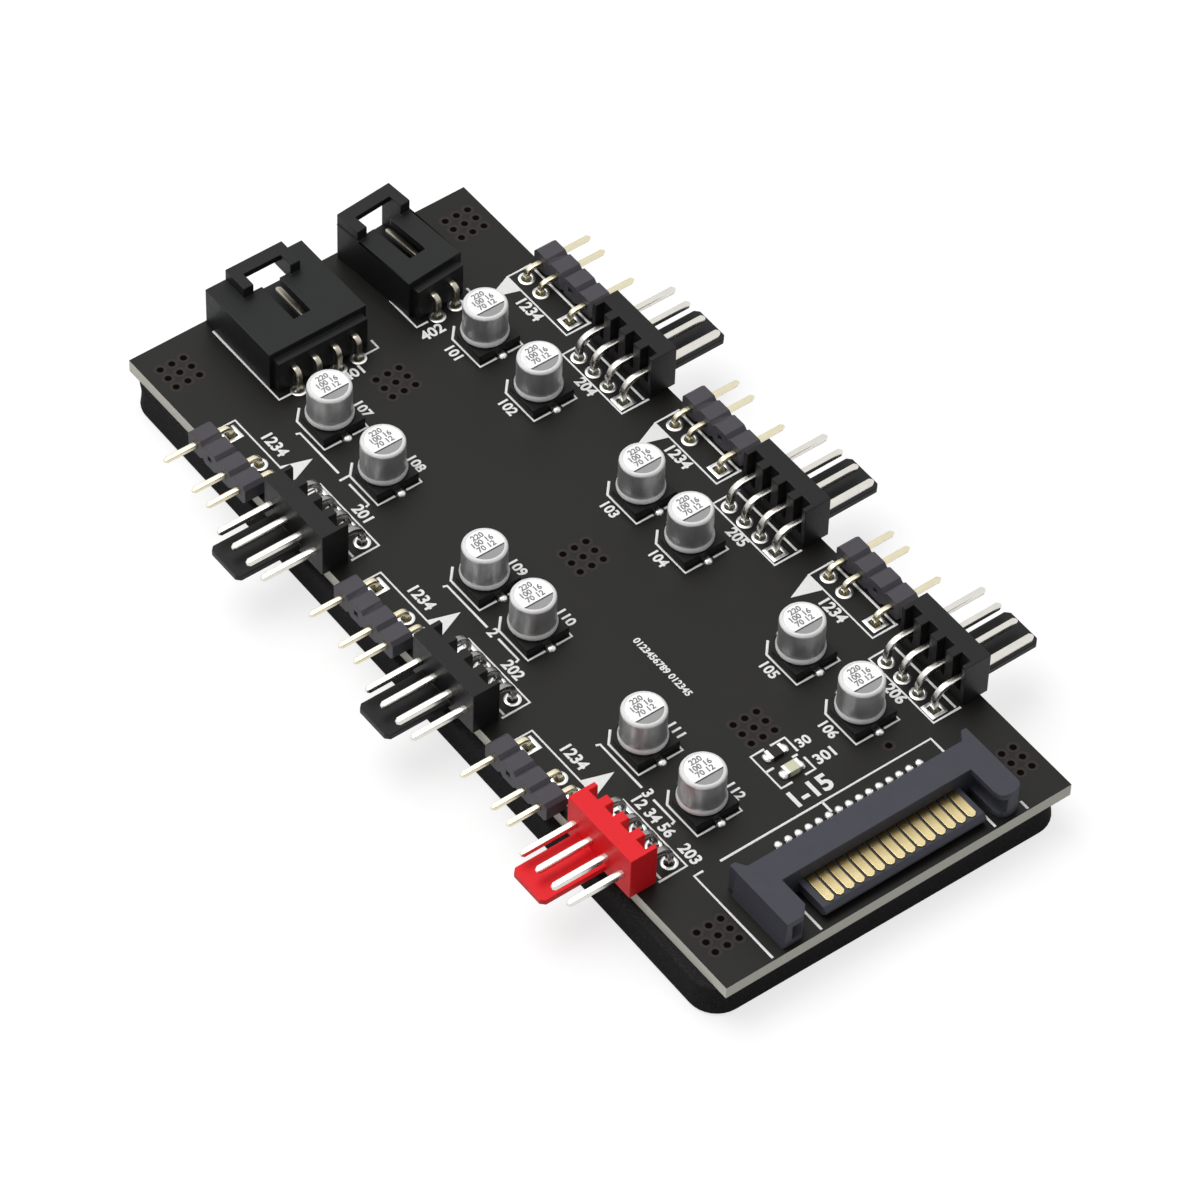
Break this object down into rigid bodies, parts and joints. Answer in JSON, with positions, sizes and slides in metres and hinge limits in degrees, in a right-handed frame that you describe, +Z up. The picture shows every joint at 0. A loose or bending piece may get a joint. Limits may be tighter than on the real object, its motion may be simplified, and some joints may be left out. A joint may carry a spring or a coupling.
{
  "type": "pc fan controller hub",
  "caption": "Bare circuit board hub on a foam pad, with fan and light pin headers along both long edges, can capacitors, a drive power plug and latching rear sockets.",
  "frame": {"origin": "middle of the board's outline, on the underside of the foam pad", "axes": "+X across the board, +Y along it towards the rear sockets, +Z up out of the board"},
  "size_m": [0.0604, 0.1018, 0.012],
  "materials": {
    "pad_foam": "closed-cell foam, matte",
    "board_mask": "black solder mask over woven glass laminate, satin",
    "plug_nylon": "slate grey moulded nylon, satin",
    "header_nylon": "black moulded nylon, satin",
    "red_nylon": "red moulded nylon, satin",
    "light_nylon": "dark grey moulded nylon, satin",
    "socket_nylon": "black moulded nylon, satin",
    "gold_plate": "gold flash plating, polished",
    "tin_plate": "tin plating, satin",
    "can_aluminium": "drawn aluminium, satin",
    "base_resin": "black moulded resin, matte",
    "lamp_resin": "cream diffusing resin",
    "chip_ceramic": "dark glazed chip"
  },
  "bodies": {
    "root": {"foam_pad": "pad_foam", "circuit_board": "board_mask", "power_plug_housing": "plug_nylon", "power_plug_contacts": "gold_plate", "wide_socket_housing": "socket_nylon", "wide_socket_pins": "tin_plate", "narrow_socket_housing": "socket_nylon", "narrow_socket_pins": "tin_plate", "light_header_left_1": "light_nylon", "light_pins_left_1": "gold_plate", "fan_header_left_1": "header_nylon", "fan_pins_left_1": "tin_plate", "light_header_left_2": "light_nylon", "light_pins_left_2": "gold_plate", "fan_header_left_2": "header_nylon", "fan_pins_left_2": "tin_plate", "light_header_left_3": "light_nylon", "light_pins_left_3": "gold_plate", "fan_header_left_3": "red_nylon", "fan_pins_left_3": "tin_plate", "light_header_right_1": "light_nylon", "light_pins_right_1": "gold_plate", "fan_header_right_1": "header_nylon", "fan_pins_right_1": "tin_plate", "light_header_right_2": "light_nylon", "light_pins_right_2": "gold_plate", "fan_header_right_2": "header_nylon", "fan_pins_right_2": "tin_plate", "light_header_right_3": "light_nylon", "light_pins_right_3": "gold_plate", "fan_header_right_3": "header_nylon", "fan_pins_right_3": "tin_plate", "capacitor_can_left_1": "can_aluminium", "capacitor_base_left_1": "base_resin", "capacitor_can_left_2": "can_aluminium", "capacitor_base_left_2": "base_resin", "capacitor_can_left_3": "can_aluminium", "capacitor_base_left_3": "base_resin", "capacitor_can_left_4": "can_aluminium", "capacitor_base_left_4": "base_resin", "capacitor_can_left_5": "can_aluminium", "capacitor_base_left_5": "base_resin", "capacitor_can_left_6": "can_aluminium", "capacitor_base_left_6": "base_resin", "capacitor_can_right_1": "can_aluminium", "capacitor_base_right_1": "base_resin", "capacitor_can_right_2": "can_aluminium", "capacitor_base_right_2": "base_resin", "capacitor_can_right_3": "can_aluminium", "capacitor_base_right_3": "base_resin", "capacitor_can_right_4": "can_aluminium", "capacitor_base_right_4": "base_resin", "capacitor_can_right_5": "can_aluminium", "capacitor_base_right_5": "base_resin", "capacitor_can_right_6": "can_aluminium", "capacitor_base_right_6": "base_resin", "capacitor_leads": "tin_plate", "indicator_lamp": "lamp_resin", "lamp_resistor": "chip_ceramic", "chip_terminals": "tin_plate"}
  },
  "joints": []
}
